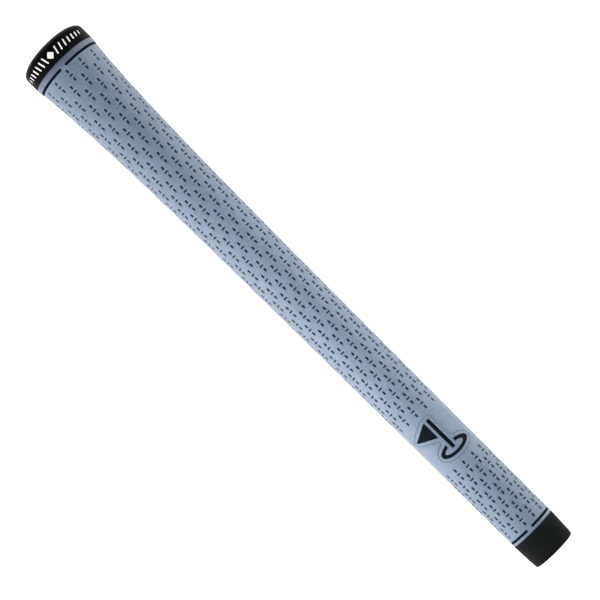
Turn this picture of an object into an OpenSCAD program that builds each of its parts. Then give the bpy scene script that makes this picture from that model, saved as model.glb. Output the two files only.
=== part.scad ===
// Moulded rubber grip for a golf club, lying along X.
// The origin is the centre of the mouth, +X runs to the butt cap and +Z is the side of the emblem.

/* [Overall] */
// Length from the mouth to the butt end
grip_length = 265; // [255:1:275]

/* [Shaft bore] */
// Bore as moulded, a little under a 0.600 inch shaft
bore_d = 14.6; // [14.2:0.1:15]
// Length of solid cap beyond the end of the bore
cap_wall = 6; // [5:0.5:7]
// Vent hole through the butt cap
vent_d = 3; // [2:0.5:4]
// Width of the countersink round the vent
vent_sink = 0.7; // [0.4:0.1:1]

/* [Skin profile] */
// Outside diameter of the skin where it meets the tip collar
skin_tip_d = 19.1; // [19:0.1:20]
// Growth of the diameter for each millimetre towards the butt
skin_taper = 0.012; // [0.006:0.0005:0.014]
// Extra diameter of the flare under the cap
butt_flare = 6.2; // [4:0.1:6.3]
// Length over which the flare dies away
flare_length = 31; // [24:1:36]
// Longest straight step of the skin's turned profile
profile_step = 5; // [2:1:8]

/* [Butt cap] */
// Diameter of the cap's skirt
cap_d = 28.5; // [28.1:0.1:29.5]
// Length of the cap that shows
cap_length = 9.3; // [9.2:0.1:10]
// Length of the cap's rounded rim
cap_rim_length = 3.6; // [1.5:0.1:3.6]
// How far the rounded rim reaches in towards the axis
cap_rim_reach = 8; // [2:0.5:9]
// Rise of the domed end above its rim
cap_dome = 0.2; // [0:0.1:0.2]
// Diameter of the spigot that plugs into the skin
spigot_d = 23.6; // [22:0.2:24]
// Length of the spigot
spigot_length = 6; // [4:0.5:8]

/* [Core sleeve] */
// Core diameter at the mouth
core_tip_d = 16.4; // [16:0.1:16.6]
// Core diameter at the butt
core_butt_d = 18.6; // [18:0.1:19]

/* [Tip collar] */
// Length of the collar that shows
collar_length = 11.4; // [10:0.1:11.8]
// Collar diameter at the mouth
collar_mouth_d = 18.1; // [18.1:0.1:18.8]
// Radius of the collar's rounded edge
collar_edge_r = 0.8; // [0.3:0.1:0.8]
// Diameter of the skin's tongue under the collar
tongue_d = 17.5; // [17.3:0.1:17.7]
// Length of the tongue
tongue_length = 3.3; // [2:0.1:4]

/* [Rings] */
// Distance of the butt ring's centre from the butt end
butt_ring_at = 12; // [11.5:0.1:12.5]
// Distance of the tip ring's centre from the mouth
tip_ring_at = 13; // [13:0.1:14.5]
// Width of each ring
ring_w = 1; // [0.6:0.05:1.1]
// Depth of each ring's groove
ring_depth = 0.45; // [0.3:0.05:0.5]
// Gap in each ring on the alignment line
ring_gap = 2.1; // [1.5:0.1:3]
// How far the skin's lip stands proud between the butt ring and the cap
lip_rise = 0.15; // [0.1:0.05:0.3]

/* [Emblem] */
// Distance of the emblem's middle from the mouth
emblem_at = 59; // [55:0.5:65]
// Length of the emblem along the grip
emblem_length = 16.5; // [14:0.5:18]
// Width of the strokes
stroke_w = 1.5; // [1:0.1:2]
// Place of the flagpole to one side of the alignment line
pole_offset = -2; // [-3:0.1:0]
// Height of the pennant where it meets the pole
pennant_h = 7.6; // [6:0.2:9]
// Reach of the pennant from the pole
pennant_reach = 8.6; // [7:0.2:8.8]
// Width of the cup's oval across the grip
cup_w = 12; // [10:0.2:12]
// Length of the cup's oval along the grip
cup_l = 5.2; // [4.6:0.2:6]
// Clear space between the pieces of the emblem
emblem_gap = 1; // [0.7:0.1:1.2]
// Depth of the emblem's recess
emblem_depth = 0.5; // [0.3:0.05:0.6]

/* [Cap marks] */
// Number of slanted bars on each side of the lozenge
bar_count = 7; // [4:1:8]
// Angle round the cap from one bar to the next
bar_pitch = 8.6; // [7:0.1:9]
// Height of the tallest bar along the grip
bar_h = 3.4; // [2.5:0.1:3.4]
// Height of the shortest bar along the grip
bar_low_h = 1.8; // [1:0.1:2.4]
// Width of each bar
bar_w = 0.6; // [0.4:0.1:1]
// Slant of the bars
bar_slant = 14; // [0:1:25]
// Width of the lozenge round the cap
lozenge_w = 3.4; // [2.5:0.1:4]
// Depth of the cap marks
mark_depth = 0.35; // [0.2:0.05:0.5]

/* [Hidden] */
$fn = 96;

skin_grey = [0.48, 0.55, 0.66];
rubber_black = [0.06, 0.06, 0.065];
core_black = [0.13, 0.13, 0.14];
paint_black = [0.03, 0.035, 0.06];
paint_white = [0.93, 0.93, 0.93];

bore_r = bore_d / 2;
vent_r = vent_d / 2;
cap_r = cap_d / 2;
spigot_r = spigot_d / 2;
tongue_r = tongue_d / 2;
core_butt_r = core_butt_d / 2;
skirt_x = grip_length - cap_length;          // where the cap's skirt meets the skin
core_end_x = grip_length - cap_wall;         // where the core stops against the cap
spigot_x = skirt_x - spigot_length;          // inner end of the cap's spigot
tongue_x = collar_length - tongue_length;    // end of the skin's tongue under the collar
butt_ring_x = grip_length - butt_ring_at;
lip_x = butt_ring_x + ring_w / 2;            // where the skin steps up to its lip
dome_r = cap_r - cap_rim_reach;              // radius of the cap's domed end
sink_r = vent_r + vent_sink;
dome_steps = 5;
arc_step = 10;                               // angle between the points of a rounded edge
fill_drop = 0.1;                             // how far a filling lies below the surface
proud = 1;                                   // how far a cutter stands out of the surface
cup_points = 32;
cap_marks_x = skirt_x + 3.6;                 // middle of the marks along the skirt
first_bar = 12;                              // angle from the lozenge's middle to the first bar

// Outside radius of the skin at a distance from the mouth
function skin_r(x) = (skin_tip_d + skin_taper * (x - collar_length)
                      + butt_flare * exp((x - skirt_x) / flare_length)) / 2;

// Outside radius of the core at a distance from the mouth
function core_r(x) = (core_tip_d + (core_butt_d - core_tip_d) * min(x / spigot_x, 1)) / 2;

// Points [radius, distance] of the skin's surface, raised by a height, from x0 to x1 in either order
function skin_line(x0, x1, rise = 0) =
    let (steps = ceil(abs(x1 - x0) / profile_step))
    [for (i = [0 : steps]) let (x = x0 + (x1 - x0) * i / steps) [skin_r(x) + rise, x]];

// Points of a rounded outer edge about [r, x], with its size across and along the axis; turn is where it starts
function edge_arc(r, x, across, along, turn) =
    [for (a = [0 : arc_step : 90]) [r + across * cos(turn + a), x + along * sin(turn + a)]];

// Turns an outline of [radius, distance] points into a body along X
module turned(outline) {
    rotate([0, 90, 0]) rotate_extrude() polygon(outline);
}

// The layer of the skin between a depth below its surface and a rise above it
module skin_layer(x0, x1, depth, rise) {
    turned(concat(skin_line(x0, x1, rise), skin_line(x1, x0, -depth)));
}

// Inner tube that grips the shaft; its butt end is straight and sits in the cap
module core_sleeve() {
    color(core_black) turned([
        [bore_r, 0], [core_r(0), 0], [core_butt_r, spigot_x], [core_butt_r, core_end_x], [bore_r, core_end_x]
    ]);
}

// Half of a broken ring round the grip; left is the +Y half
module half_ring(x, depth, rise, left) {
    surface_r = skin_r(x);
    gap_angle = asin(ring_gap / 2 / surface_r);
    rotate([0, 90, 0])
        rotate_extrude(start = (left ? 0 : 180) + gap_angle, angle = 180 - 2 * gap_angle)
            polygon([
                [surface_r - depth, x - ring_w / 2], [surface_r + rise, x - ring_w / 2],
                [surface_r + rise, x + ring_w / 2], [surface_r - depth, x + ring_w / 2]
            ]);
}

module ring_filling(x, left) {
    color(paint_black) half_ring(x, ring_depth, -fill_drop, left);
}

// Flat outlines of the emblem, a flag in a putting cup, with X along the grip
module pole_outline() {
    foot_x = -emblem_length / 2 + cup_l / 2;
    translate([foot_x, pole_offset - stroke_w / 2]) square([emblem_length / 2 - foot_x, stroke_w]);
}

module pennant_outline() {
    top_x = emblem_length / 2;
    hoist_y = pole_offset + stroke_w / 2 + emblem_gap;
    polygon([[top_x, hoist_y], [top_x - pennant_h, hoist_y],
             [top_x - pennant_h / 2, pole_offset + stroke_w / 2 + pennant_reach]]);
}

module oval(length, width) {
    polygon([for (i = [0 : cup_points - 1]) let (a = 360 * i / cup_points)
             [length / 2 * cos(a), width / 2 * sin(a)]]);
}

module cup_outline() {
    pole_slot = stroke_w + 2 * emblem_gap;
    translate([-emblem_length / 2 + cup_l / 2, pole_offset]) difference() {
        oval(cup_l, cup_w);
        oval(cup_l - 1.6 * stroke_w, cup_w - 2.4 * stroke_w);
        translate([0, -pole_slot / 2]) square([cup_l, pole_slot]);
    }
}

// Sinks a flat outline into the emblem side of the skin
module sunk_in_skin(depth, rise) {
    half = emblem_length / 2 + proud;
    intersection() {
        translate([emblem_at, 0, 0]) linear_extrude(height = cap_r) children();
        skin_layer(emblem_at - half, emblem_at + half, depth, rise);
    }
}

module emblem_filling() {
    color(paint_black) sunk_in_skin(emblem_depth, -fill_drop) children();
}

// Outer skin with its ring grooves and emblem recess, from the tongue to the lip under the cap
module grip_skin() {
    lip_r = skin_r(lip_x) + lip_rise;
    color(skin_grey) difference() {
        turned(concat(
            [[core_r(tongue_x), tongue_x], [tongue_r, tongue_x], [tongue_r, collar_length]],
            skin_line(collar_length, lip_x),
            [[lip_r, lip_x], [lip_r, skirt_x], [spigot_r, skirt_x], [spigot_r, spigot_x], [core_butt_r, spigot_x]]
        ));
        for (left = [true, false]) {
            half_ring(butt_ring_x, ring_depth, proud, left);
            half_ring(tip_ring_at, ring_depth, proud, left);
        }
        sunk_in_skin(emblem_depth, proud) pole_outline();
        sunk_in_skin(emblem_depth, proud) pennant_outline();
        sunk_in_skin(emblem_depth, proud) cup_outline();
    }
}

// Black collar that closes the tip and laps over the skin's tongue
module tip_collar() {
    mouth_r = collar_mouth_d / 2;
    color(rubber_black) turned(concat(
        [[core_r(0), 0]],
        edge_arc(mouth_r - collar_edge_r, collar_edge_r, collar_edge_r, collar_edge_r, -90),
        [[skin_r(collar_length), collar_length], [tongue_r, collar_length],
         [tongue_r, tongue_x], [core_r(tongue_x), tongue_x]]
    ));
}

// Raises a flat outline out of the cap's skirt at an angle from the top, between two radii
module on_skirt(inner_r, outer_r, angle) {
    intersection() {
        rotate([angle, 0, 0]) translate([cap_marks_x, 0, 0]) linear_extrude(height = outer_r + proud) children();
        turned([[inner_r, skirt_x], [outer_r, skirt_x], [outer_r, grip_length], [inner_r, grip_length]]);
    }
}

module lozenge_on_skirt(inner_r, outer_r) {
    on_skirt(inner_r, outer_r, 0)
        polygon([[bar_h / 2, 0], [0, lozenge_w / 2], [-bar_h / 2, 0], [0, -lozenge_w / 2]]);
}

module bars_on_skirt(inner_r, outer_r) {
    for (side = [-1, 1], i = [0 : bar_count - 1]) {
        height = bar_h + (bar_low_h - bar_h) * i / (bar_count - 1);
        on_skirt(inner_r, outer_r, side * (first_bar + i * bar_pitch))
            rotate(side * bar_slant) square([height, bar_w], center = true);
    }
}

// Hard rubber cap that closes the butt, with a spigot inside the skin and a vent for fitting
module butt_cap() {
    color(rubber_black) difference() {
        turned(concat(
            [[vent_r, core_end_x], [core_butt_r, core_end_x], [core_butt_r, spigot_x],
             [spigot_r, spigot_x], [spigot_r, skirt_x], [cap_r, skirt_x]],
            edge_arc(dome_r, grip_length - cap_dome - cap_rim_length, cap_rim_reach, cap_rim_length, 0),
            [for (i = [dome_steps - 1 : -1 : 1]) let (r = sink_r + (dome_r - sink_r) * i / dome_steps)
                [r, grip_length - cap_dome * pow(r / dome_r, 2)]],
            [[sink_r, grip_length], [vent_r, grip_length - vent_sink]]
        ));
        lozenge_on_skirt(cap_r - mark_depth, cap_r + proud);
        bars_on_skirt(cap_r - mark_depth, cap_r + proud);
    }
}

module cap_filling() {
    color(paint_white) children();
}

core_sleeve();
grip_skin();
tip_collar();
butt_cap();
ring_filling(butt_ring_x, true);  // butt_ring_left
ring_filling(butt_ring_x, false);  // butt_ring_right
ring_filling(tip_ring_at, true);  // tip_ring_left
ring_filling(tip_ring_at, false);  // tip_ring_right
emblem_filling() pole_outline();  // emblem_pole
emblem_filling() pennant_outline();  // emblem_pennant
emblem_filling() cup_outline();  // emblem_cup
cap_filling() lozenge_on_skirt(cap_r - mark_depth, cap_r - fill_drop);  // cap_lozenge
cap_filling() bars_on_skirt(cap_r - mark_depth, cap_r - fill_drop);  // cap_bars
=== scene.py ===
# A moulded rubber golf grip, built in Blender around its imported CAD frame.
# It lies along X: the mouth is at X = 0, the butt cap at +X, and the emblem faces +Z.
# Shapes are worked out in millimetres and turned into metres when a mesh is made.
# A place on the skin is given as x (distance from the mouth) and turn (angle from +Z towards +Y).
import math

import bmesh
import bpy
import numpy as np
from mathutils import Matrix, Vector
from mathutils.geometry import convex_hull_2d, delaunay_2d_cdt


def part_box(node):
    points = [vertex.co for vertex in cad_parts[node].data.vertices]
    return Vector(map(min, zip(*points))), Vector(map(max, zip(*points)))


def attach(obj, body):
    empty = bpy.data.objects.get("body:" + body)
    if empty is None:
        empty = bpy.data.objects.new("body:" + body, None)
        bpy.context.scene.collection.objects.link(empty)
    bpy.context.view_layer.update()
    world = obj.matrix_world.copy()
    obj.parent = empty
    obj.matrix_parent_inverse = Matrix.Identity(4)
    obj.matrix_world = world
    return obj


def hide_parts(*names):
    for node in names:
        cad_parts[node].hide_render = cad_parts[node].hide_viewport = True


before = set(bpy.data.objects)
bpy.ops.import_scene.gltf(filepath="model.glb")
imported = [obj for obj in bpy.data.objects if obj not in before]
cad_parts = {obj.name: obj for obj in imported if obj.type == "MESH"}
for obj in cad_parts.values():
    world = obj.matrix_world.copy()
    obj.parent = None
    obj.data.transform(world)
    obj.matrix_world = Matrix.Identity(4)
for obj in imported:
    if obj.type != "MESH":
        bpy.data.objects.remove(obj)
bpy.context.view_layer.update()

MM = 0.001
WHITE = (1.0, 1.0, 1.0)


def cad_box(node):
    """Lowest and highest corner of a CAD node, in millimetres."""
    low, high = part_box(node)
    return low / MM, high / MM


# ---------------------------------------------------------------- sizes, in millimetres

LENGTH = cad_box("butt_cap")[1].x
SKIRT_X = cad_box("grip_skin")[1].x
SPIGOT_X = cad_box("butt_cap")[0].x
CAP_R = cad_box("butt_cap")[1].y
COLLAR_LENGTH = cad_box("tip_collar")[1].x
TONGUE_X = cad_box("grip_skin")[0].x
CORE_END_X = cad_box("core_sleeve")[1].x
CORE_BUTT_R = cad_box("core_sleeve")[1].y
BUTT_RING = cad_box("butt_ring_left")
TIP_RING = cad_box("tip_ring_left")

BORE_R = 7.3
CORE_TIP_R = 8.2
SPIGOT_R = 11.8             # the cap's spigot, which the skin is moulded over
TONGUE_R = 8.75             # the tongue of the skin, which the collar is lapped over
MOUTH_R = 9.05
MOUTH_EDGE_R = 0.8
COLLAR_LOOPS = (2.5, 5.0, 7.5, 10.0)
COLLAR_BELLY = 0.7          # power of the collar's curve; 1 is a straight cone
VENT_R = 1.5
VENT_SINK = 0.7
CAP_RIM_LENGTH = 3.6
CAP_RIM_REACH = 8.0
CAP_DOME = 0.2
DOME_LOOPS = (0.85, 0.7, 0.55)
RIM_STEPS = 16
MOUTH_STEPS = 8

SKIN_TIP_D = 19.1
SKIN_TAPER = 0.012          # gain in diameter for each millimetre of length
BUTT_FLARE = 6.2            # gain in diameter at the cap, which fades over FLARE_LENGTH
FLARE_LENGTH = 31
LIP_RISE = 0.15

# Rounded edges, as (distance from the end face, depth below the side); in a hole the depths are negative
EDGE_LENGTH = 0.25
LIP_EDGE = [(0.07, 0.06), (0.0, 0.25)]
CAP_EDGE = [(0.0, 0.25), (0.07, 0.07), (EDGE_LENGTH, 0.0)]
COLLAR_EDGE = [(0.22, 0.01), (0.06, 0.07), (0.0, 0.2)]
TIP_EDGE = [(0.0, 0.18), (0.05, 0.05)]
TIP_EDGE_LENGTH = 0.2
BORE_EDGE = [(EDGE_LENGTH, 0.0), (0.07, -0.07)]
VENT_EDGE = [(0.01, -VENT_SINK - 0.1), (0.08, -VENT_SINK + 0.06),
             (VENT_SINK, -0.03), (VENT_SINK + 0.2, 0.0)]
LIP_LOOP = 0.6              # an extra loop of points on the lip, this far from the butt ring's band

# Traction marks: rows round the grip, and motifs along each row. A motif is two dashes with a tick between.
ROWS = 26
ROW_TURN = math.tau / ROWS
ROW_PARTS = 4
GRIP_SEGMENTS = ROWS * ROW_PARTS
FIRST_MOTIF = 16.15         # distance of motif 0 from the butt
MOTIF_PITCH = 9.997
PITCH_LOSS = 0.00595
PITCH_LOSS_GROWTH = 0.00036
MOTIF_PARTS = 8
DASH_LENGTH = 1.62
DASH_WIDTH = 0.8
DASH_OFFSET = 1.9
TICK_LENGTH = 1.7
TICK_WIDTH = 0.6
MARK_DEPTH = 0.26
MARK_FILL = 0.015           # every fill is how far the paint lies below the surface
MARK_CLEARANCE = 0.4        # every clearance keeps the surface's free points away from outlines

# How far the marks reach, in motif numbers counted from the butt
FIELD_START = -0.33
FIELD_END = 24.375
ODD_ROW_GAP = (18.0, 21.0)  # the smooth stretch for the emblem, where rows have no motifs
EVEN_ROW_GAP = (18.5, 20.5)
WINDOW_START = 18.375       # the patch with the emblem, as wide as EMBLEM_ROWS rows on each side of row 0
WINDOW_END = 20.625
EMBLEM_ROWS = 5

# The rows sway round the grip in one long wave
SWAY_MIDDLE = math.radians(0.84)
SWAY = math.radians(3.53)
SWAY_CREST_X = 173.4
SWAY_LENGTH = 243.0

RING_DEPTH = 0.45
RING_FILL = 0.1
RING_GAP = 2.1
RING_MARGIN = 0.22
RING_END_STEPS = 6

EMBLEM_DEPTH = 0.5
EMBLEM_FILL = 0.12
EMBLEM_CORNER = 0.3
EMBLEM_GAP = 1.0
EMBLEM_CLEARANCE = 0.75
POLE_SPACING = 1.2
PENNANT_SPACING = 1.0
EMBLEM_SPACING = 0.4
CUP_POINTS = 40
CUP_STROKES = (0.8, 1.2)    # the cup's stroke along and across the grip, as shares of the pole's

# The fine line round the emblem
BORDER_DISTANCE = 1.35
BORDER_SOFTENING = 0.8
BORDER_SPACING = 0.5
BORDER_PASSES = 4
BORDER_CLEARANCE = 0.6

CAP_SEGMENTS = 120
CAP_MARKS_X = SKIRT_X + 3.6
CAP_MARK_DEPTH = 0.35
CAP_MARK_FILL = 0.06
BAR_COUNT = 7
BAR_PITCH = math.radians(8.6)
FIRST_BAR = math.radians(12)
BAR_SLANT = math.radians(14)
BAR_HEIGHTS = (3.4, 1.8)
BAR_WIDTH = 0.6
BAR_CORNER = 0.45 * BAR_WIDTH
BAR_SPACING = 0.9
LOZENGE_WIDTH = 3.4
LOZENGE_CORNER = 0.35
LOZENGE_SPACING = 0.7
CAP_MARK_CLEARANCE = 0.35
SKIRT_LOOP = 1.2            # an extra loop of points on the skirt, this far from the seam

# Steps of each recess, as (growth of its outline, height above the surface)
MARK_STEPS = [(0.03, 0.0), (0.0, -0.02), (0.0, -MARK_DEPTH)]
RING_STEPS = [(0.05, 0.0), (0.0, -0.06), (0.0, -RING_DEPTH)]
CAP_MARK_STEPS = [(0.04, 0.0), (0.0, -0.05), (0.0, -CAP_MARK_DEPTH)]
EMBLEM_STEPS = [(0.38, 0.0), (0.33, 0.1), (0.22, 0.15), (0.1, 0.12), (0.0, -0.02), (0.0, -EMBLEM_DEPTH)]
BORDER_STEPS = [(0.28, 0.0), (0.16, -0.15), (0.0, -0.22), (-0.16, -0.15), (-0.28, 0.0)]

MERGE_DISTANCE = 2e-6       # in metres, for the points of a mesh
FLAT_CLOSENESS = 1e-6       # in millimetres, for flat points
MITRE_LIMIT = 0.5


def smoothstep(low, high, value):
    """0 below low, 1 above high and a smooth rise between them."""
    t = min(max((value - low) / (high - low), 0.0), 1.0)
    return t * t * (3 - 2 * t)


def skin_r(x):
    """Outside radius of the skin, with the step up to its lip across the butt ring."""
    straight = SKIN_TIP_D + SKIN_TAPER * (x - COLLAR_LENGTH)
    flare = BUTT_FLARE * math.exp((x - SKIRT_X) / FLARE_LENGTH)
    return (straight + flare) / 2 + LIP_RISE * smoothstep(BUTT_RING[0].x, BUTT_RING[1].x, x)


def core_r(x):
    """Outside radius of the core, which widens evenly up to the cap's spigot."""
    return CORE_TIP_R + (CORE_BUTT_R - CORE_TIP_R) * min(x / SPIGOT_X, 1)


def motif_x(n):
    """Distance from the mouth of motif number n, counted from the butt; n may be a fraction."""
    return LENGTH - (FIRST_MOTIF + MOTIF_PITCH * n - PITCH_LOSS * n ** 2 - PITCH_LOSS_GROWTH * n ** 3)


def row_sway(x):
    """How far round the rows have drifted at x; they are not moulded quite straight."""
    return SWAY_MIDDLE + SWAY * np.cos(math.tau * (x - SWAY_CREST_X) / SWAY_LENGTH)


# ---------------------------------------------------------------- meshes

class Form:
    """Collects points given as (x, turn, radius) and the faces between them.

    When it sways, its points drift round the grip as the rows do.
    """

    def __init__(self, sways=False):
        self.sways = sways
        self.points = []
        self.faces = []

    def add(self, points, faces):
        start = len(self.points)
        self.points.extend(points)
        self.faces.extend([start + i for i in face] for face in faces)

    def make(self, name, body, slot, material, sharp=35.0):
        """Turns the points and faces into a piece, shaded smooth but for edges above sharp degrees."""
        x, turn, radius = np.array(self.points, float).T
        if self.sways:
            turn = turn + row_sway(x)
        corners = np.stack([x, radius * np.sin(turn), radius * np.cos(turn)], 1) * MM
        mesh = bpy.data.meshes.new(name)
        mesh.from_pydata(corners.tolist(), [], self.faces)
        work = bmesh.new()
        work.from_mesh(mesh)
        bmesh.ops.remove_doubles(work, verts=work.verts, dist=MERGE_DISTANCE)
        loose = [corner for corner in work.verts if not corner.link_faces]
        bmesh.ops.delete(work, geom=loose, context="VERTS")
        bmesh.ops.recalc_face_normals(work, faces=work.faces)
        work.to_mesh(mesh)
        work.free()
        mesh.polygons.foreach_set("use_smooth", [True] * len(mesh.polygons))
        mesh.set_sharp_from_angle(angle=math.radians(sharp))
        mesh.materials.append(material)
        piece = bpy.data.objects.new(name, mesh)
        bpy.context.scene.collection.objects.link(piece)
        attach(piece, body)
        return piece


def lathe(form, profile, segments, closed=False):
    """Adds a turned band whose profile is a list of (x, radius)."""
    turns = [math.tau * j / segments for j in range(segments)]
    points = [(x, turn, radius) for x, radius in profile for turn in turns]
    faces = []
    spans = len(profile) if closed else len(profile) - 1
    for i in range(spans):
        here = i * segments
        there = (i + 1) % len(profile) * segments
        for j in range(segments):
            k = (j + 1) % segments
            faces.append([here + j, here + k, there + k, there + j])
    form.add(points, faces)


def arc(x, radius, along, across, start, steps):
    """Quarter oval of a profile about (x, radius); start is its first angle from outwards towards +X."""
    turns = [math.radians(start + 90 * i / steps) for i in range(steps + 1)]
    return [(x + along * math.sin(a), radius + across * math.cos(a)) for a in turns]


def edge(end, side, radius, cuts):
    """Rounded edge of a profile, on the side of its end face that is given as 1 (+X) or -1 (-X)."""
    return [(end + side * distance, radius - depth) for distance, depth in cuts]


# ---------------------------------------------------------------- flat outlines, in millimetres

def capsule(length, width, steps=4):
    """Round-ended bar along its first axis, centred, with a point at each step of its two ends."""
    half = (length - width) / 2
    ends = [(half, -90), (-half, 90)]
    return [(mid + width / 2 * math.cos(math.radians(start + 180 * i / steps)),
             width / 2 * math.sin(math.radians(start + 180 * i / steps)))
            for mid, start in ends for i in range(steps + 1)]


def rounded(corners, size, steps=3):
    """The polygon with each corner cut by an arc-like curve that starts size away from it."""
    outline = []
    for i, corner in enumerate(corners):
        before = Vector(corners[i - 1]) - Vector(corner)
        after = Vector(corners[(i + 1) % len(corners)]) - Vector(corner)
        first = Vector(corner) + before.normalized() * min(size, before.length / 2)
        last = Vector(corner) + after.normalized() * min(size, after.length / 2)
        for j in range(steps + 1):
            t = j / steps
            point = first * (1 - t) ** 2 + Vector(corner) * 2 * t * (1 - t) + last * t * t
            outline.append(tuple(point))
    return outline


def subdivided(outline, longest):
    """The outline with extra points, so that no side is longer than longest."""
    points = []
    for i, start in enumerate(outline):
        end = outline[(i + 1) % len(outline)]
        parts = max(1, math.ceil(math.dist(start, end) / longest))
        for j in range(parts):
            points.append(tuple(a + (b - a) * j / parts for a, b in zip(start, end)))
    return points


def signed_area(outline):
    """Area within an outline, negative when it runs clockwise."""
    return sum(a[0] * b[1] - b[0] * a[1] for a, b in zip(outline, outline[1:] + outline[:1])) / 2


def anticlockwise(outline):
    return outline if signed_area(outline) > 0 else outline[::-1]


def grown(outline, amount):
    """An anticlockwise outline with each side moved outwards by an amount, but sharp corners held back."""
    result = []
    for i, point in enumerate(outline):
        here = Vector(point)
        before = (here - Vector(outline[i - 1])).normalized()
        after = (Vector(outline[(i + 1) % len(outline)]) - here).normalized()
        normals = Vector((before.y, -before.x)) + Vector((after.y, -after.x))
        length = max(normals.length_squared / 2, MITRE_LIMIT)
        result.append(tuple(here + normals * amount / length))
    return result


def hull(outline):
    """The outline with its hollows filled, anticlockwise."""
    return anticlockwise([outline[i] for i in convex_hull_2d([Vector(point) for point in outline])])


def point_loops(outlines, start=0):
    """The numbers of each outline's points, when all are listed one after another from number start."""
    loops = []
    for outline in outlines:
        loops.append(list(range(start, start + len(outline))))
        start += len(outline)
    return loops


def triangulated(points, loops):
    """Triangles across flat points, none of which crosses a side of a loop.

    Gives the corners, the triangles, the points each corner comes from and the loops round each triangle.
    """
    flat = [Vector(point) for point in points]
    corners, _, faces, origins, _, owners = delaunay_2d_cdt(flat, [], loops, 0, FLAT_CLOSENESS)
    return corners, faces, origins, owners


def joined(outlines):
    """The outer edge of several anticlockwise outlines that overlap."""
    points = [point for outline in outlines for point in outline]
    corners, faces, _, owners = triangulated(points, point_loops(outlines))
    sides = {side for face, owner in zip(faces, owners) if owner for side in zip(face, face[1:] + face[:1])}
    after = {a: b for a, b in sides if (b, a) not in sides}
    loop = [max(after, key=lambda i: corners[i].x)]
    while after[loop[-1]] != loop[0]:
        loop.append(after[loop[-1]])
    return [tuple(corners[i]) for i in loop]


def softened(outline, spacing, passes):
    """The outline with evenly spaced points, each averaged with its neighbours a number of times."""
    closed = np.array(outline + outline[:1])
    lengths = np.concatenate([[0.0], np.cumsum(np.linalg.norm(np.diff(closed, axis=0), axis=1))])
    places = np.linspace(0.0, lengths[-1], round(lengths[-1] / spacing), endpoint=False)
    points = np.stack([np.interp(places, lengths, closed[:, axis]) for axis in (0, 1)], 1)
    for _ in range(passes):
        points = (np.roll(points, 1, 0) + 2 * points + np.roll(points, -1, 0)) / 4
    return [tuple(point) for point in points.tolist()]


# ---------------------------------------------------------------- recesses

class Patch:
    """A flat stretch of surface with recesses cut into it.

    Its points are free points, which only make up the surface, and outlines. Each outline is grown and
    raised by the steps of its recess: the first step lies on the surface and the last is the floor.
    A border, when there is one, is a loop that the patch stays within.
    """

    def __init__(self, free, outlines, steps, border=()):
        self.free = list(free) + list(border)
        self.steps = steps
        self.rings = [[grown(anticlockwise(outline), size) for size, _ in steps] for outline in outlines]
        self.loops = point_loops([rings[0] for rings in self.rings], len(self.free))
        points = self.free + [p for rings in self.rings for p in rings[0]]
        loops = self.loops
        surface_owner = []
        if border:
            surface_owner = [len(loops)]
            loops = loops + [list(range(len(free), len(self.free)))]
        _, faces, origins, owners = triangulated(points, loops)
        origin = [ids[0] for ids in origins]
        named = [([origin[i] for i in face], owner) for face, owner in zip(faces, owners)]
        self.outside = [face for face, owner in named if list(owner) == surface_owner]
        self.filled = [[face for face, owner in named if k in owner] for k in range(len(outlines))]

    def surface(self, form, place, floors=True):
        """Adds the surface and the walls of each recess, and their floors unless another patch makes them.

        Place turns a flat point and its height above the surface into x, turn, radius.
        """
        points = [place(p, 0.0) for p in self.free]
        for rings in self.rings:
            points += [place(p, self.steps[0][1]) for p in rings[0]]
        faces = list(self.outside)
        for k, rings in enumerate(self.rings):
            size = len(rings[0])
            above = self.loops[k][0]
            for ring, (_, height) in zip(rings[1:], self.steps[1:]):
                below = len(points)
                points += [place(p, height) for p in ring]
                for i in range(size):
                    j = (i + 1) % size
                    faces.append([above + i, above + j, below + j, below + i])
                above = below
            if floors:
                faces += self.floor_faces(k, points, place, self.steps[-1][1], above)
        form.add(points, faces)

    def floor_faces(self, k, points, place, height, ring_at):
        """The faces across outline k at a height, whose ring is already in points from number ring_at."""
        first = self.loops[k][0]
        size = len(self.loops[k])
        moved = {}
        faces = []
        for face in self.filled[k]:
            corners = []
            for i in face:
                if first <= i < first + size:
                    corners.append(ring_at + i - first)
                    continue
                if i not in moved:
                    moved[i] = len(points)
                    points.append(place(self.free[i], height))
                corners.append(moved[i])
            faces.append(corners)
        return faces

    def filling(self, form, k, place, top):
        """Adds the solid that fills recess k from its floor up to a height below the surface."""
        ring = self.rings[k][-1]
        points = [place(p, top) for p in ring]
        faces = self.floor_faces(k, points, place, top, 0)
        below = len(points)
        points += [place(p, self.steps[-1][1]) for p in ring]
        faces += self.floor_faces(k, points, place, self.steps[-1][1], below)
        for i in range(len(ring)):
            j = (i + 1) % len(ring)
            faces.append([i, j, below + j, below + i])
        form.add(points, faces)


# ---------------------------------------------------------------- the skin

def steps_between(low, high, parts):
    """Low, high and every multiple of 1 / parts that lies well between them."""
    steps = [i / parts for i in range(math.ceil(low * parts), math.floor(high * parts) + 1)]
    clear = 0.2 / parts
    return [low] + [step for step in steps if low + clear < step < high - clear] + [high]


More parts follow.
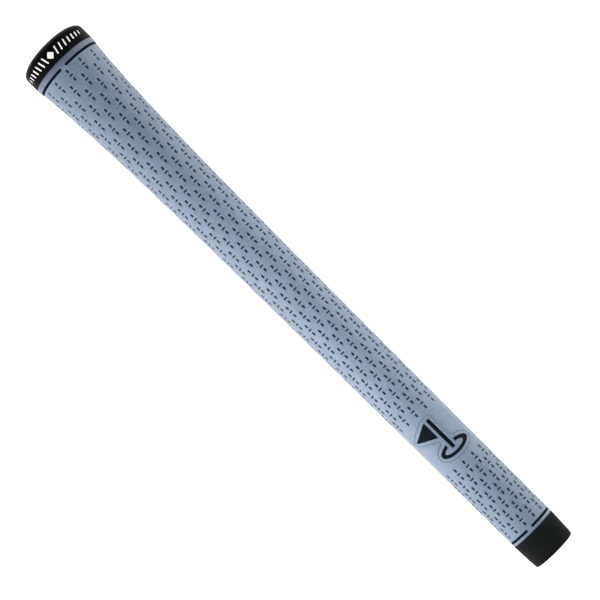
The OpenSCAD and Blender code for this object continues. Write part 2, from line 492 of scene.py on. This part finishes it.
class Cell:
    """One cell of a row, from motif number low to high, both counted from the cell's own origin.

    The origin is the motif of a marked cell, and a whole number in or beside a blank one. Flat points are
    (distance from the origin along +X, distance round), on a cell of the mean size. The points on its grid
    keep their share of the true cell: n counts motifs along it and v is from -0.5 to 0.5 across the row.
    Those of the marks keep their true size.
    """

    WIDTH = 2.6             # mean distance round from row to row

    def __init__(self, low, high, marked):
        self.grid = []
        for n in steps_between(low, high, MOTIF_PARTS):
            for v in steps_between(-0.5, 0.5, ROW_PARTS):
                on_edge = n in (low, high) or abs(v) == 0.5
                if on_edge or not (marked and self.covered(n)):
                    self.grid.append((n, v))
        outlines = []
        if marked:
            dash = capsule(DASH_LENGTH, DASH_WIDTH)
            tick = [(b, a) for a, b in capsule(TICK_LENGTH, TICK_WIDTH)]
            butt_dash = [(a + DASH_OFFSET, b) for a, b in dash]
            tip_dash = [(a - DASH_OFFSET, b) for a, b in dash]
            outlines = [butt_dash, tick, tip_dash]
        free = [(-n * MOTIF_PITCH, v * self.WIDTH) for n, v in self.grid]
        self.patch = Patch(free, outlines, MARK_STEPS)
        self.shares = dict(zip(free, self.grid))

    @staticmethod
    def covered(n):
        """Whether the marks lie too near for a grid point at motif number n."""
        return abs(n) * MOTIF_PITCH < DASH_OFFSET + DASH_LENGTH / 2 + MARK_CLEARANCE

    def placer(self, row, origin):
        """The place function of this cell in a row, with its origin at a motif number."""
        row_turn = row * ROW_TURN
        origin_x = motif_x(origin)

        def place(point, height):
            if point in self.shares:
                n, v = self.shares[point]
                x = motif_x(origin + n)
                return x, row_turn + v * ROW_TURN, skin_r(x) + height
            x = origin_x + point[0]
            radius = skin_r(x)
            return x, row_turn + point[1] / radius, radius + height

        return place


def row_cells(row):
    """(start, end, has a motif) of every cell in a row; odd rows are half a motif on.

    The rows beside the emblem leave its window free: odd ones end in blank cells and even ones are cut off.
    """
    odd = row % 2 == 1
    beside_emblem = min(row, ROWS - row) <= EMBLEM_ROWS
    gap_start, gap_end = ODD_ROW_GAP if odd else EVEN_ROW_GAP
    inner = [n + (0.0 if odd else 0.5) for n in range(math.ceil(FIELD_END))]
    inner = [n for n in inner if n < FIELD_END and not gap_start < n < gap_end]
    edges = [FIELD_START] + inner + [FIELD_END]
    cells = []
    for start, end in zip(edges, edges[1:]):
        in_gap = start == gap_start
        at_end = start == FIELD_START or end == FIELD_END
        if in_gap and beside_emblem:
            if odd:
                cells.append((gap_start, WINDOW_START, False))
                cells.append((WINDOW_END, gap_end, False))
            continue
        if beside_emblem and not odd:
            start = WINDOW_END if start == gap_end else start
            end = WINDOW_START if end == gap_start else end
        cells.append((start, end, not (in_gap or odd and at_end)))
    return cells


def traction_field(skin, dashes, ticks):
    """Adds all the cells of all the rows, and the paint in their marks."""
    made = {}
    for row in range(ROWS):
        for start, end, marked in row_cells(row):
            origin = start + 0.5 if marked and row % 2 else math.floor(end)
            key = (start - origin, end - origin, marked)
            if key not in made:
                made[key] = Cell(*key)
            cell = made[key]
            place = cell.placer(row, origin)
            cell.patch.surface(skin, place)
            if marked:
                cell.patch.filling(dashes, 0, place, -MARK_FILL)
                cell.patch.filling(ticks, 1, place, -MARK_FILL)
                cell.patch.filling(dashes, 2, place, -MARK_FILL)


def flat_turn(reference_r):
    """The place function for flat points (x, distance round at a reference radius)."""
    def place(point, height):
        x = point[0]
        return x, point[1] / reference_r, skin_r(x) + height
    return place


def ring_patch(box, x0, x1):
    """A band of skin right round the grip with the two halves of a ring's groove in it."""
    middle = (box[0].x + box[1].x) / 2
    width = box[1].x - box[0].x
    reference = skin_r(middle)
    part = ROW_TURN / ROW_PARTS * reference
    half = GRIP_SEGMENTS // 2
    low = RING_GAP / 2
    high = math.pi * reference - RING_GAP / 2
    between = [k * part for k in range(1, half) if low + width < k * part < high - width]
    ends = []
    for centre, start in ((high - width / 2, 0), (low + width / 2, 180)):
        turns = [math.radians(start + 180 * i / RING_END_STEPS) for i in range(RING_END_STEPS + 1)]
        ends.append([(middle + width / 2 * math.cos(a), centre + width / 2 * math.sin(a)) for a in turns])
    outline = [(middle + width / 2, v) for v in between] + ends[0]
    outline += [(middle - width / 2, v) for v in reversed(between)] + ends[1]
    outlines = [[(x, side * v) for x, v in outline] for side in (1, -1)]
    free = [(x, k * part) for x in (x0, x1) for k in range(-half, half + 1)]
    return Patch(free, outlines, RING_STEPS), flat_turn(reference)


def emblem_outlines():
    """The pole, pennant and cup of the emblem as seen from above, as (x, y)."""
    pole_low, pole_high = cad_box("emblem_pole")
    flag_low, flag_high = cad_box("emblem_pennant")
    cup_low, cup_high = cad_box("emblem_cup")
    pole = [(pole_low.x, pole_low.y), (pole_high.x, pole_low.y),
            (pole_high.x, pole_high.y), (pole_low.x, pole_high.y)]
    flag_mid = (flag_low.x + flag_high.x) / 2
    flag = [(flag_low.x, flag_low.y), (flag_high.x, flag_low.y), (flag_mid, flag_high.y)]
    stroke = pole_high.y - pole_low.y
    centre = (pole_low.x, (cup_low.y + cup_high.y) / 2)
    outer = (centre[0] - cup_low.x, (cup_high.y - cup_low.y) / 2)
    inner = (outer[0] - CUP_STROKES[0] * stroke, outer[1] - CUP_STROKES[1] * stroke)
    half_gap = stroke / 2 + EMBLEM_GAP
    sides = []
    for along, across in (outer, inner):
        start = math.asin(half_gap / across)
        turns = [start + (math.tau - 2 * start) * i / CUP_POINTS for i in range(CUP_POINTS + 1)]
        sides.append([(centre[0] + along * math.cos(a), centre[1] + across * math.sin(a)) for a in turns])
    return {
        "emblem_pole": subdivided(rounded(pole, EMBLEM_CORNER), POLE_SPACING),
        "emblem_pennant": subdivided(rounded(flag, 2 * EMBLEM_CORNER), PENNANT_SPACING),
        "emblem_cup": sides[0] + sides[1][::-1],
    }


def wrapped(outline, reference):
    """An outline seen from above, laid round the skin where it stays put while the rows sway."""
    return [(x, (math.asin(y / skin_r(x)) - row_sway(x)) * reference) for x, y in outline]


def inside_outline(point, outline):
    """Whether a line from the point towards +X crosses an odd number of the outline's sides."""
    x, y = point
    hit = False
    for a, b in zip(outline, outline[1:] + outline[:1]):
        if (a[1] > y) != (b[1] > y) and x < a[0] + (y - a[1]) * (b[0] - a[0]) / (b[1] - a[1]):
            hit = not hit
    return hit


def near_outline(point, outline, distance):
    """Whether any of the outline's own points is nearer than a distance."""
    return any(math.dist(point, other) < distance for other in outline)


def emblem_patches():
    """The window's skin outside the fine line round the emblem, and that inside it with the recesses.

    Also gives their place function and the names of the emblem's pieces.
    """
    start_x = motif_x(WINDOW_START)
    end_x = motif_x(WINDOW_END)
    reference = skin_r((start_x + end_x) / 2)
    seen = emblem_outlines()
    outlines = [anticlockwise(wrapped(outline, reference)) for outline in seen.values()]
    line = joined([grown(hull(outline), BORDER_DISTANCE + BORDER_SOFTENING) for outline in outlines])
    line = grown(softened(line, BORDER_SPACING, BORDER_PASSES), -BORDER_SOFTENING)
    close = [(subdivided(outline, EMBLEM_SPACING), EMBLEM_CLEARANCE) for outline in outlines]
    close += [(line, BORDER_CLEARANCE)]
    edge_v = EMBLEM_ROWS + 0.5
    outer, inner = [], []
    for n in steps_between(WINDOW_START, WINDOW_END, MOTIF_PARTS):
        for v in steps_between(-edge_v, edge_v, ROW_PARTS):
            point = (motif_x(n), v * ROW_TURN * reference)
            on_edge = n in (WINDOW_START, WINDOW_END) or abs(v) == edge_v
            if on_edge or not any(near_outline(point, outline, distance) for outline, distance in close):
                (inner if inside_outline(point, line) else outer).append(point)
    around = Patch(outer, [line], BORDER_STEPS)
    recesses = Patch(inner, outlines, EMBLEM_STEPS, border=around.rings[0][-1])
    return around, recesses, flat_turn(reference), list(seen)


def make_skin(materials):
    """The skin with all its recesses, and the paint in them."""
    skin = Form(sways=True)
    dashes = Form(sways=True)
    ticks = Form(sways=True)
    traction_field(skin, dashes, ticks)

    fillings = {}
    butt_edge = BUTT_RING[1].x + RING_MARGIN
    tip_edge = TIP_RING[0].x - RING_MARGIN
    bands = {
        "butt_ring": (BUTT_RING, motif_x(FIELD_START), butt_edge),
        "tip_ring": (TIP_RING, tip_edge, motif_x(FIELD_END)),
    }
    for name, (box, x0, x1) in bands.items():
        patch, place = ring_patch(box, x0, x1)
        patch.surface(skin, place)
        for k, side in enumerate(("left", "right")):
            fillings[f"{name}_{side}"] = Form(sways=True)
            patch.filling(fillings[f"{name}_{side}"], k, place, -RING_FILL)

    around, recesses, place, names = emblem_patches()
    around.surface(skin, place, floors=False)
    recesses.surface(skin, place)
    for k, name in enumerate(names):
        fillings[name] = Form(sways=True)
        recesses.filling(fillings[name], k, place, -EMBLEM_FILL)

    profile = [(x, skin_r(x)) for x in (butt_edge, butt_edge + LIP_LOOP, SKIRT_X - EDGE_LENGTH)]
    profile += edge(SKIRT_X, -1, skin_r(SKIRT_X), LIP_EDGE)
    profile += [(SKIRT_X, SPIGOT_R), (SPIGOT_X, SPIGOT_R), (SPIGOT_X, CORE_BUTT_R)]
    profile += [(TONGUE_X, core_r(TONGUE_X)), (TONGUE_X, TONGUE_R), (COLLAR_LENGTH, TONGUE_R)]
    profile += edge(COLLAR_LENGTH, 1, skin_r(COLLAR_LENGTH), TIP_EDGE)
    profile += [(x, skin_r(x)) for x in (COLLAR_LENGTH + TIP_EDGE_LENGTH, tip_edge)]
    lathe(skin, profile, GRIP_SEGMENTS)

    piece = skin.make("skin_moulded", "root", "skin_rubber", materials["skin"])
    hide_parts("grip_skin")
    dashes.make("lengthwise_marks", "root", "black_paint", materials["paint"])
    ticks.make("crosswise_marks", "root", "black_paint", materials["paint"])
    for name, filling in fillings.items():
        emblem = name.startswith("emblem")
        slot = "emblem_paint" if emblem else "black_paint"
        piece = filling.make(name + "_fill", "root", slot, materials["emblem" if emblem else "ring"])
        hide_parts(name)


# ---------------------------------------------------------------- core, collar and cap

def make_core(materials):
    """The inner layer round the bore, from the mouth up into the cap."""
    core = Form()
    profile = [(0.0, BORE_R + EDGE_LENGTH), (0.0, core_r(0)), (SPIGOT_X, CORE_BUTT_R)]
    profile += [(CORE_END_X, CORE_BUTT_R), (CORE_END_X, BORE_R)] + edge(0.0, 1, BORE_R, BORE_EDGE)
    lathe(core, profile, GRIP_SEGMENTS, closed=True)
    piece = core.make("core_sleeve_moulded", "root", "core_rubber", materials["core"])
    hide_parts("core_sleeve")


def make_collar(materials):
    """The strip round the mouth, lapped over the tongue of the skin."""
    collar = Form()
    seam_r = skin_r(COLLAR_LENGTH)
    profile = [(0.0, core_r(0))]
    profile += arc(MOUTH_EDGE_R, MOUTH_R - MOUTH_EDGE_R, MOUTH_EDGE_R, MOUTH_EDGE_R, -90, MOUTH_STEPS)
    for x in COLLAR_LOOPS:
        share = (x - MOUTH_EDGE_R) / (COLLAR_LENGTH - MOUTH_EDGE_R)
        profile.append((x, MOUTH_R + (seam_r - MOUTH_R) * share ** COLLAR_BELLY))
    profile += edge(COLLAR_LENGTH, -1, seam_r, COLLAR_EDGE)
    profile += [(COLLAR_LENGTH, TONGUE_R), (TONGUE_X, TONGUE_R), (TONGUE_X, core_r(TONGUE_X))]
    lathe(collar, profile, GRIP_SEGMENTS, closed=True)
    piece = collar.make("tip_collar_moulded", "root", "collar_rubber", materials["collar"])
    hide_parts("tip_collar")


def bar_outline(side, i):
    """Slanted bar number i on one side of the lozenge, as (x, distance round the skirt)."""
    height = BAR_HEIGHTS[0] + (BAR_HEIGHTS[1] - BAR_HEIGHTS[0]) * i / (BAR_COUNT - 1)
    corners = [(-height / 2, -BAR_WIDTH / 2), (height / 2, -BAR_WIDTH / 2),
               (height / 2, BAR_WIDTH / 2), (-height / 2, BAR_WIDTH / 2)]
    slant = Matrix.Rotation(side * BAR_SLANT, 2)
    around = side * (FIRST_BAR + i * BAR_PITCH) * CAP_R
    turned = [slant @ Vector(corner) for corner in corners]
    return rounded([(CAP_MARKS_X + p.x, around + p.y) for p in turned], BAR_CORNER)


def make_cap(materials):
    """The cap with its vent and the recesses in its skirt, and the paint in them."""
    cap = Form()
    skirt_start = SKIRT_X + EDGE_LENGTH
    rim_x = LENGTH - CAP_DOME - CAP_RIM_LENGTH
    part = math.tau * CAP_R / CAP_SEGMENTS
    half = CAP_SEGMENTS // 2
    tall, wide = BAR_HEIGHTS[0] / 2, LOZENGE_WIDTH / 2
    lozenge = [(CAP_MARKS_X + tall, 0), (CAP_MARKS_X, wide), (CAP_MARKS_X - tall, 0), (CAP_MARKS_X, -wide)]
    bars = [bar_outline(side, i) for side in (-1, 1) for i in range(BAR_COUNT)]
    outlines = [subdivided(rounded(lozenge, LOZENGE_CORNER), LOZENGE_SPACING)]
    outlines += [subdivided(bar, BAR_SPACING) for bar in bars]
    free = []
    for x in (skirt_start, SKIRT_X + SKIRT_LOOP, rim_x):
        for k in range(-half, half + 1):
            point = (x, k * part)
            on_edge = x in (skirt_start, rim_x)
            if on_edge or not any(near_outline(point, outline, CAP_MARK_CLEARANCE) for outline in outlines):
                free.append(point)
    patch = Patch(free, outlines, CAP_MARK_STEPS)

    def place(point, height):
        return point[0], point[1] / CAP_R, CAP_R + height

    patch.surface(cap, place)
    dome_r = CAP_R - CAP_RIM_REACH
    profile = arc(rim_x, dome_r, CAP_RIM_LENGTH, CAP_RIM_REACH, 0, RIM_STEPS)
    profile += [(LENGTH - CAP_DOME * share ** 2, dome_r * share) for share in DOME_LOOPS]
    profile += edge(LENGTH, -1, VENT_R, VENT_EDGE)
    profile += [(CORE_END_X, VENT_R), (CORE_END_X, CORE_BUTT_R), (SPIGOT_X, CORE_BUTT_R)]
    profile += [(SPIGOT_X, SPIGOT_R), (SKIRT_X, SPIGOT_R)] + edge(SKIRT_X, 1, CAP_R, CAP_EDGE)
    lathe(cap, profile, CAP_SEGMENTS)
    piece = cap.make("butt_cap_moulded", "root", "cap_rubber", materials["cap"], sharp=40)
    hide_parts("butt_cap")
    lozenge_fill = Form()
    patch.filling(lozenge_fill, 0, place, -CAP_MARK_FILL)
    bar_fill = Form()
    for k in range(1, len(outlines)):
        patch.filling(bar_fill, k, place, -CAP_MARK_FILL)
    for name, filling in (("cap_lozenge", lozenge_fill), ("cap_bars", bar_fill)):
        piece = filling.make(name + "_fill", "root", "white_paint", materials["white"])
        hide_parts(name)


# ---------------------------------------------------------------- materials

# Sizes of the lumps in the materials, in metres
BLOTCH_SIZE = 0.006
SPECKLE_SIZE = 0.0009
GRAIN_SIZE = 0.0011
FINE_GRAIN_SIZE = 0.00028
WORN_SIZE = 0.003
PAINT_BLOTCH_SIZE = 0.0009
PAINT_WORN_SIZE = 0.0006
PAINT_GRAIN_SIZE = 0.0004
FLOOR_BLOTCH_SIZE = 0.4

SPECKLE_SHADE = (0.64, 0.64, 0.64)
FINE_GRAIN_SHARE = 0.45     # depth of the fine grain, as a share of the coarse grain's
PAINT_GRAIN = 0.00002       # depth in metres
PALER_SHARE = 1.4           # the palest paint is this many times its colour,
PALER_RISE = 0.001          # and this much more
SHEEN_ROUGHNESS = 0.4
# Painted shade: the violet grey that darkens the skin's lip next to the cap
LIP_SHADE_TINT = (0.66, 0.56, 0.67)


class Nodes:
    """A new material with its shader, and short calls for the nodes that feed it."""

    def __init__(self, name):
        self.material = bpy.data.materials.new(name)
        self.material.use_nodes = True
        self.tree = self.material.node_tree
        self.shader = self.tree.nodes["Principled BSDF"]
        self.coordinates = self.tree.nodes.new("ShaderNodeTexCoord").outputs["Object"]

    def link(self, source, target):
        self.tree.links.new(source, target)

    def noise(self, size, detail=3, roughness=0.55):
        """Noise whose lumps are about size metres across."""
        node = self.tree.nodes.new("ShaderNodeTexNoise")
        node.inputs["Scale"].default_value = 1 / size
        node.inputs["Detail"].default_value = detail
        node.inputs["Roughness"].default_value = roughness
        self.link(self.coordinates, node.inputs["Vector"])
        return node.outputs["Fac"]

    def ramp(self, value, stops):
        """A colour ramp between two stops, each (value, colour)."""
        node = self.tree.nodes.new("ShaderNodeValToRGB")
        for element, (position, colour) in zip(node.color_ramp.elements, stops):
            element.position = position
            element.color = (*colour, 1)
        self.link(value, node.inputs["Fac"])
        return node.outputs["Color"]

    def beyond(self, start, end):
        """0 up to a distance from the mouth, rising to 1 at another, both in metres."""
        node = self.tree.nodes.new("ShaderNodeSeparateXYZ")
        self.link(self.coordinates, node.inputs["Vector"])
        return self.span(node.outputs["X"], start, end, 0.0, 1.0)

    def span(self, value, low, high, to_low, to_high):
        """The value with low to high spread over to_low to to_high, and no further."""
        node = self.tree.nodes.new("ShaderNodeMapRange")
        for name, number in zip(("From Min", "From Max", "To Min", "To Max"), (low, high, to_low, to_high)):
            node.inputs[name].default_value = number
        self.link(value, node.inputs["Value"])
        return node.outputs["Result"]

    def multiplied(self, first, second):
        """One colour times another."""
        node = self.tree.nodes.new("ShaderNodeMix")
        node.data_type = "RGBA"
        node.blend_type = "MULTIPLY"
        node.inputs["Factor"].default_value = 1.0
        self.link(first, node.inputs["A"])
        self.link(second, node.inputs["B"])
        return node.outputs["Result"]

    def bump(self, layers):
        """Bumps laid over each other, from (height value, depth in metres) layers."""
        below = None
        for value, depth in layers:
            node = self.tree.nodes.new("ShaderNodeBump")
            node.inputs["Strength"].default_value = 1.0
            node.inputs["Distance"].default_value = depth
            self.link(value, node.inputs["Height"])
            if below is not None:
                self.link(below, node.inputs["Normal"])
            below = node.outputs["Normal"]
        self.link(below, self.shader.inputs["Normal"])

    def fixed(self, **values):
        """Sets sockets of the shader, named with _ for each space."""
        for name, value in values.items():
            self.shader.inputs[name.replace("_", " ")].default_value = value


def rubber(name, dark, light, rough, grain, specular=0.4, sheen=0.0, lip=None):
    """Moulded rubber: blotches a few millimetres across, fine speckle and a grain of a given depth.

    Its lip, when given as (start, end, tint), takes on the tint between two distances from the mouth; that
    tint is painted shade, darkening the lip by the cap.
    """
    nodes = Nodes(name)
    blotches = nodes.noise(BLOTCH_SIZE, detail=4)
    speckles = nodes.noise(SPECKLE_SIZE, roughness=0.7)
    colour = nodes.multiplied(nodes.ramp(blotches, [(0.35, dark), (0.65, light)]),
                              nodes.ramp(speckles, [(0.32, SPECKLE_SHADE), (0.68, WHITE)]))
    if lip is not None:
        start, end, tint = lip
        # Painted shade on the lip: its colour is multiplied down towards the tint
        lip_shade = nodes.ramp(nodes.beyond(start * MM, end * MM), [(0.0, WHITE), (1.0, tint)])
        colour = nodes.multiplied(colour, lip_shade)
    worn = nodes.span(nodes.noise(WORN_SIZE, detail=5), 0.3, 0.7, rough - 0.05, rough + 0.07)
    nodes.link(colour, nodes.shader.inputs["Base Color"])
    nodes.link(worn, nodes.shader.inputs["Roughness"])
    fine_grain = nodes.noise(FINE_GRAIN_SIZE, roughness=0.65)
    nodes.bump([(nodes.noise(GRAIN_SIZE), grain), (fine_grain, grain * FINE_GRAIN_SHARE)])
    nodes.fixed(Specular_IOR_Level=specular, Sheen_Weight=sheen, Sheen_Roughness=SHEEN_ROUGHNESS)
    return nodes.material


def paint(name, colour, rough, specular=0.35):
    """Paint wiped into a recess: a little uneven in tone and surface."""
    nodes = Nodes(name)
    paler = tuple(min(1.0, c * PALER_SHARE + PALER_RISE) for c in colour)
    tone = nodes.ramp(nodes.noise(PAINT_BLOTCH_SIZE, detail=4), [(0.35, colour), (0.75, paler)])
    worn = nodes.span(nodes.noise(PAINT_WORN_SIZE), 0.3, 0.7, rough - 0.06, rough + 0.08)
    nodes.link(tone, nodes.shader.inputs["Base Color"])
    nodes.link(worn, nodes.shader.inputs["Roughness"])
    nodes.bump([(nodes.noise(PAINT_GRAIN_SIZE), PAINT_GRAIN)])
    nodes.fixed(Specular_IOR_Level=specular)
    return nodes.material


def make_materials():
    lip = (BUTT_RING[0].x, BUTT_RING[1].x, LIP_SHADE_TINT)
    return {
        "skin": rubber("skin_rubber", (0.1184, 0.1741, 0.2643), (0.1329, 0.1947, 0.2943),
                       rough=0.6, grain=0.000033, specular=0.97, sheen=0.22, lip=lip),
        "core": rubber("core_rubber", (0.020, 0.020, 0.022), (0.030, 0.030, 0.032),
                       rough=0.65, grain=0.00003),
        "cap": rubber("cap_rubber", (0.0035, 0.0036, 0.0038), (0.0055, 0.0056, 0.006),
                      rough=0.42, grain=0.000012, specular=0.02),
        "collar": rubber("collar_rubber", (0.009, 0.0115, 0.012), (0.012, 0.0145, 0.0155),
                         rough=0.5, grain=0.00002, specular=0.01),
        "paint": paint("mark_paint", (0.0035, 0.0135, 0.034), rough=0.6, specular=0.06),
        "ring": paint("ring_paint", (0.001, 0.0035, 0.0095), rough=0.5, specular=0.01),
        "emblem": paint("emblem_paint", (0.003, 0.005, 0.0085), rough=0.45, specular=0.02),
        "white": paint("cap_paint", (0.9, 0.9, 0.9), rough=0.5),
    }


# ---------------------------------------------------------------- camera, floor and light

CAMERA_X = 88.7             # where the camera stands along the grip, in millimetres
CAMERA_DISTANCE = 880.0
CAMERA_LEAN = math.radians(5.5)
AIM_X = 131.5
AIM_Y = 0.56
FRAME_WIDTH = 222.3         # width of the picture at the grip, in millimetres
GRIP_ANGLE = math.radians(135.22)
SENSOR = 36.0


def make_camera():
    """Above the grip, leaning a little to -Y, and turned so that the mouth is at the lower right."""
    above = Vector((0, -math.sin(CAMERA_LEAN), math.cos(CAMERA_LEAN)))
    across = Vector((0, math.cos(CAMERA_LEAN), math.sin(CAMERA_LEAN)))
    eye = Vector((CAMERA_X, 0, 0)) + above * CAMERA_DISTANCE
    aim = Vector((AIM_X, 0, 0)) + across * AIM_Y
    out = (eye - aim).normalized()
    side = out.cross(Vector((1, 0, 0))).normalized()
    along = side.cross(out)
    right = along * math.cos(GRIP_ANGLE) - side * math.sin(GRIP_ANGLE)
    up = along * math.sin(GRIP_ANGLE) + side * math.cos(GRIP_ANGLE)
    camera = bpy.data.objects.new("camera", bpy.data.cameras.new("camera"))
    camera.matrix_world = Matrix((
        (right.x, up.x, out.x, eye.x * MM),
        (right.y, up.y, out.y, eye.y * MM),
        (right.z, up.z, out.z, eye.z * MM),
        (0, 0, 0, 1)))
    camera.data.sensor_width = SENSOR
    camera.data.lens = SENSOR * (eye - aim).length / FRAME_WIDTH
    camera.data.clip_start = 0.01
    camera.data.clip_end = 20
    bpy.context.scene.collection.objects.link(camera)
    bpy.context.scene.camera = camera


# Floor sizes are in metres; the cove is (distance out, height) from the floor's edge
FLOOR_SIZE = 4.0
FLOOR_GLOW = 0.9
FLOOR_TONES = [(0.3, (0.85, 0.85, 0.855)), (0.7, (0.87, 0.87, 0.87))]
COVE = [(0.0, 0.0), (0.2, 0.03), (0.4, 0.12), (0.55, 0.27), (0.64, 0.47), (0.67, 0.7)]


def make_floor():
    """Pale floor that touches the cap's skirt and the tip collar from below, swept up into low walls."""
    seam_r = skin_r(COLLAR_LENGTH)
    slope = (CAP_R - seam_r) / (SKIRT_X - COLLAR_LENGTH)
    corners = []
    for out, up in COVE:
        half = FLOOR_SIZE / 2 + out
        for x, y in ((-half, -half), (half, -half), (half, half), (-half, half)):
            corners.append((x, y, up - (seam_r * MM + slope * (x - COLLAR_LENGTH * MM))))
    faces = [(0, 1, 2, 3)]
    for low in range(0, len(corners) - 4, 4):
        faces += [(low + i, low + (i + 1) % 4, low + 4 + (i + 1) % 4, low + 4 + i) for i in range(4)]
    mesh = bpy.data.meshes.new("floor")
    mesh.from_pydata(corners, [], faces)
    nodes = Nodes("floor_paper")
    tone = nodes.ramp(nodes.noise(FLOOR_BLOTCH_SIZE), FLOOR_TONES)
    nodes.link(tone, nodes.shader.inputs["Base Color"])
    nodes.fixed(Roughness=0.9, Emission_Color=(1, 1, 1, 1), Emission_Strength=FLOOR_GLOW)
    mesh.materials.append(nodes.material)
    floor = bpy.data.objects.new("floor", mesh)
    bpy.context.scene.collection.objects.link(floor)


def add_light(name, place, target, size, power, colour=WHITE):
    """A rectangular softbox at a place, aimed at a target, all in metres; its power is in watts."""
    light = bpy.data.lights.new(name, "AREA")
    light.shape = "RECTANGLE"
    light.size, light.size_y = size
    light.energy = power
    light.color = colour
    lamp = bpy.data.objects.new(name, light)
    lamp.location = place
    lamp.rotation_euler = (Vector(target) - Vector(place)).to_track_quat("-Z", "Y").to_euler()
    bpy.context.scene.collection.objects.link(lamp)


WARM_WHITE = (1.0, 0.98, 0.88)
STRIP_SIZE = (0.2, 0.1)


def make_light():
    """A large softbox on the +Y side, lamps above and to the left, and a low warm strip on each side.

    The world is dark, so all other light comes off the glowing floor.
    """
    world = bpy.data.worlds.new("dark_studio")
    world.use_nodes = True
    world.node_tree.nodes["Background"].inputs["Strength"].default_value = 0.0
    bpy.context.scene.world = world
    middle = (0.11, 0, 0)
    add_light("softbox", (0.12, 0.9, 0.45), (0.13, 0, 0), size=(1.2, 0.7), power=2.63)
    add_light("lamp_above", (0.10, 0, 0.28), (0.10, 0, 0), size=(0.15, 0.15), power=0.55)
    add_light("lamp_left", (0.11, 0.20, 0.20), middle, size=(0.12, 0.12), power=0.45)
    add_light("strip_left", (0.11, 0.30, 0.10), middle, STRIP_SIZE, power=0.494, colour=WARM_WHITE)
    add_light("strip_right", (0.11, -0.30, 0.10), middle, STRIP_SIZE, power=0.669, colour=WARM_WHITE)
    bpy.context.scene.view_settings.view_transform = "Standard"
    bpy.context.scene.view_settings.look = "None"


make_camera()
make_floor()
make_light()
materials = make_materials()
make_skin(materials)
make_core(materials)
make_collar(materials)
make_cap(materials)
